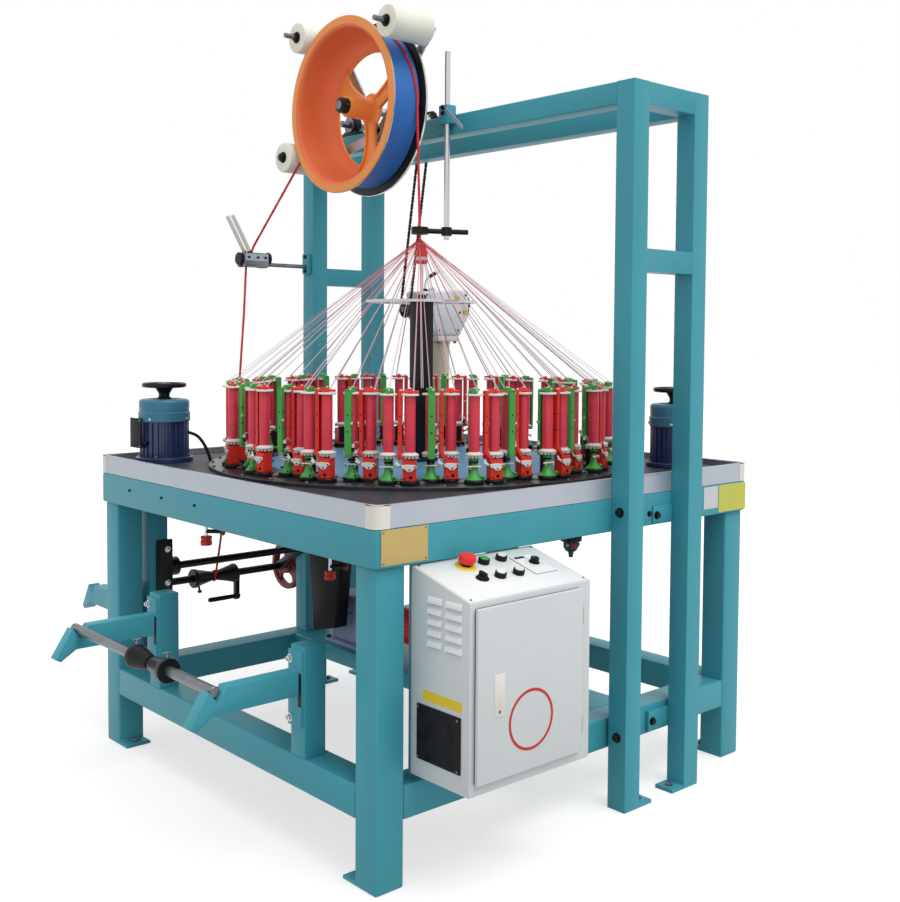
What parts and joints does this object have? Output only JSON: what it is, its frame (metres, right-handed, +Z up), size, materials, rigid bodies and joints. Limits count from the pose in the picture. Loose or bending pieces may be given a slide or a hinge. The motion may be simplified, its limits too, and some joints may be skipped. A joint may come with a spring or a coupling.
{
  "type": "braiding machine",
  "caption": "Maypole braider: bobbin carriers ring a square bed under a gantry with a haul-off wheel and rollers, beside a control cabinet, let-off arms and a winder.",
  "frame": {"origin": "on the floor, under the middle of the machine's footprint", "axes": "+Z up; +X to the right along the face with the control cabinet, +Y away from that face"},
  "size_m": [1.685, 1.8904, 2.2592],
  "materials": {
    "teal_paint": "satin teal enamel",
    "rim_aluminium": "brushed",
    "dark_bed": "matt dark slate",
    "blue_plate": "satin blue",
    "carrier_plastic": "alternating red and green carriers with white flanges",
    "black_iron": "satin black",
    "grey_casting": "satin grey enamel",
    "orange_paint": "satin orange enamel, blue drum face",
    "ivory_plastic": "ivory",
    "bright_steel": "bright",
    "red_yarn": "braided red yarn",
    "cabinet_paint": "pale grey enamel",
    "red_plastic": "red",
    "navy_paint": "satin navy"
  },
  "bodies": {
    "frame": {"axle_bearing_left": "black_iron", "axle_bearing_right": "black_iron", "beam_left": "teal_paint", "beam_right": "teal_paint", "bed_frame": "teal_paint", "bed_plate": "dark_bed", "bed_rim": "rim_aluminium", "belt_guard": "black_iron", "cabinet_body": "cabinet_paint", "carriers_front": "carrier_plastic", "carriers_rear": "carrier_plastic", "centre_column": "black_iron", "cross_bearing_left": "black_iron", "cross_bearing_right": "black_iron", "drive_gearbox": "grey_casting", "drive_shelf": "teal_paint", "finished_braid": "red_yarn", "guide_rod": "bright_steel", "inner_plate": "blue_plate", "leg_front_left": "teal_paint", "leg_front_right": "teal_paint", "leg_rear_left": "teal_paint", "leg_rear_right": "teal_paint", "let_off_arm_far": "teal_paint", "let_off_arm_near": "teal_paint", "motor_left": "navy_paint", "motor_right": "navy_paint", "portal_front": "teal_paint", "portal_rear": "teal_paint", "rail_front": "teal_paint", "rail_left": "teal_paint", "rail_rear": "teal_paint", "rail_right": "teal_paint", "roller_frame": "bright_steel", "rope_guide": "bright_steel", "take_up_chain": "black_iron", "take_up_gearbox": "grey_casting", "wheel_chain": "black_iron", "winder_bracket_left": "black_iron", "winder_bracket_right": "black_iron", "winder_chain": "black_iron", "yarns": "red_yarn"},
    "haul_off": {"haul_off_wheel": "orange_paint"},
    "roller_top_body": {"roller_top": "ivory_plastic"},
    "roller_back_body": {"roller_back": "ivory_plastic"},
    "roller_low_body": {"roller_low": "ivory_plastic"},
    "cross": {"cross_shaft": "black_iron"},
    "take_up": {"take_up_shaft": "black_iron"},
    "door": {"cabinet_door": "cabinet_paint"},
    "button": {"stop_button": "red_plastic"},
    "selector": {"selector_knob": "black_iron"},
    "speed": {"speed_knob": "black_iron"},
    "handwheel_left_body": {"handwheel_left": "black_iron"},
    "handwheel_right_body": {"handwheel_right": "black_iron"},
    "let_off": {"let_off_bar": "black_iron"},
    "winder": {"winder_shaft": "black_iron"},
    "jack": {"jack_shaft": "black_iron"}
  },
  "joints": [
    {"name": "haul_off_turn", "type": "hinge", "parent": "frame", "child": "haul_off", "pos_m": [0.1425, 0.20415, 1.97], "axis": [1, 0, 0], "continuous": true},
    {"name": "cross_shaft_turn", "type": "hinge", "parent": "frame", "child": "cross", "pos_m": [0.1425, 0.46515, 1.97], "axis": [1, 0, 0], "continuous": true},
    {"name": "take_up_shaft_turn", "type": "hinge", "parent": "frame", "child": "take_up", "pos_m": [0.1425, 0.57015, 1.357], "axis": [1, 0, 0], "continuous": true},
    {"name": "roller_top_turn", "type": "hinge", "parent": "frame", "child": "roller_top_body", "pos_m": [0.1425, -0.04588, 2.17684], "axis": [1, 0, 0], "continuous": true},
    {"name": "roller_back_turn", "type": "hinge", "parent": "frame", "child": "roller_back_body", "pos_m": [0.1425, 0.42128, 2.21115], "axis": [1, 0, 0], "continuous": true},
    {"name": "roller_low_turn", "type": "hinge", "parent": "frame", "child": "roller_low_body", "pos_m": [0.1425, 0.50105, 1.83905], "axis": [1, 0, 0], "continuous": true},
    {"name": "handwheel_left_turn", "type": "hinge", "parent": "frame", "child": "handwheel_left_body", "pos_m": [-0.4205, 0.51015, 1.083], "axis": [0, 0, 1], "continuous": true},
    {"name": "handwheel_right_turn", "type": "hinge", "parent": "frame", "child": "handwheel_right_body", "pos_m": [0.7025, -0.56985, 1.083], "axis": [0, 0, 1], "continuous": true},
    {"name": "let_off_turn", "type": "hinge", "parent": "frame", "child": "let_off", "pos_m": [-0.7725, -0.03985, 0.44396], "axis": [0, 1, 0], "continuous": true},
    {"name": "winder_turn", "type": "hinge", "parent": "frame", "child": "winder", "pos_m": [0.1425, 0.73515, 0.44], "axis": [1, 0, 0], "continuous": true},
    {"name": "jack_turn", "type": "hinge", "parent": "frame", "child": "jack", "pos_m": [0.1425, 0.60515, 0.522], "axis": [1, 0, 0], "continuous": true},
    {"name": "door_hinge", "type": "hinge", "parent": "frame", "child": "door", "pos_m": [-0.1035, -0.93715, 0.482], "axis": [0, 0, 1], "range_deg": [0, 110]},
    {"name": "selector_turn", "type": "hinge", "parent": "frame", "child": "selector", "pos_m": [-0.3315, -0.84001, 0.7119], "axis": [0, -0.2598, 0.9657], "range_deg": [0, 90]},
    {"name": "speed_turn", "type": "hinge", "parent": "frame", "child": "speed", "pos_m": [-0.1395, -0.81297, 0.71918], "axis": [0, -0.2598, 0.9657], "range_deg": [0, 270]},
    {"name": "stop_press", "type": "slide", "parent": "frame", "child": "button", "axis": [0, 0.2598, -0.9657], "range_m": [0, 0.006], "stiffness_N_per_m": 800, "springref_m": -0.004}
  ],
  "couplings": [
    {"joint": "cross_shaft_turn", "follows": "haul_off_turn", "ratio": 1},
    {"joint": "take_up_shaft_turn", "follows": "haul_off_turn", "ratio": 1},
    {"joint": "jack_turn", "follows": "winder_turn", "ratio": 1}
  ]
}
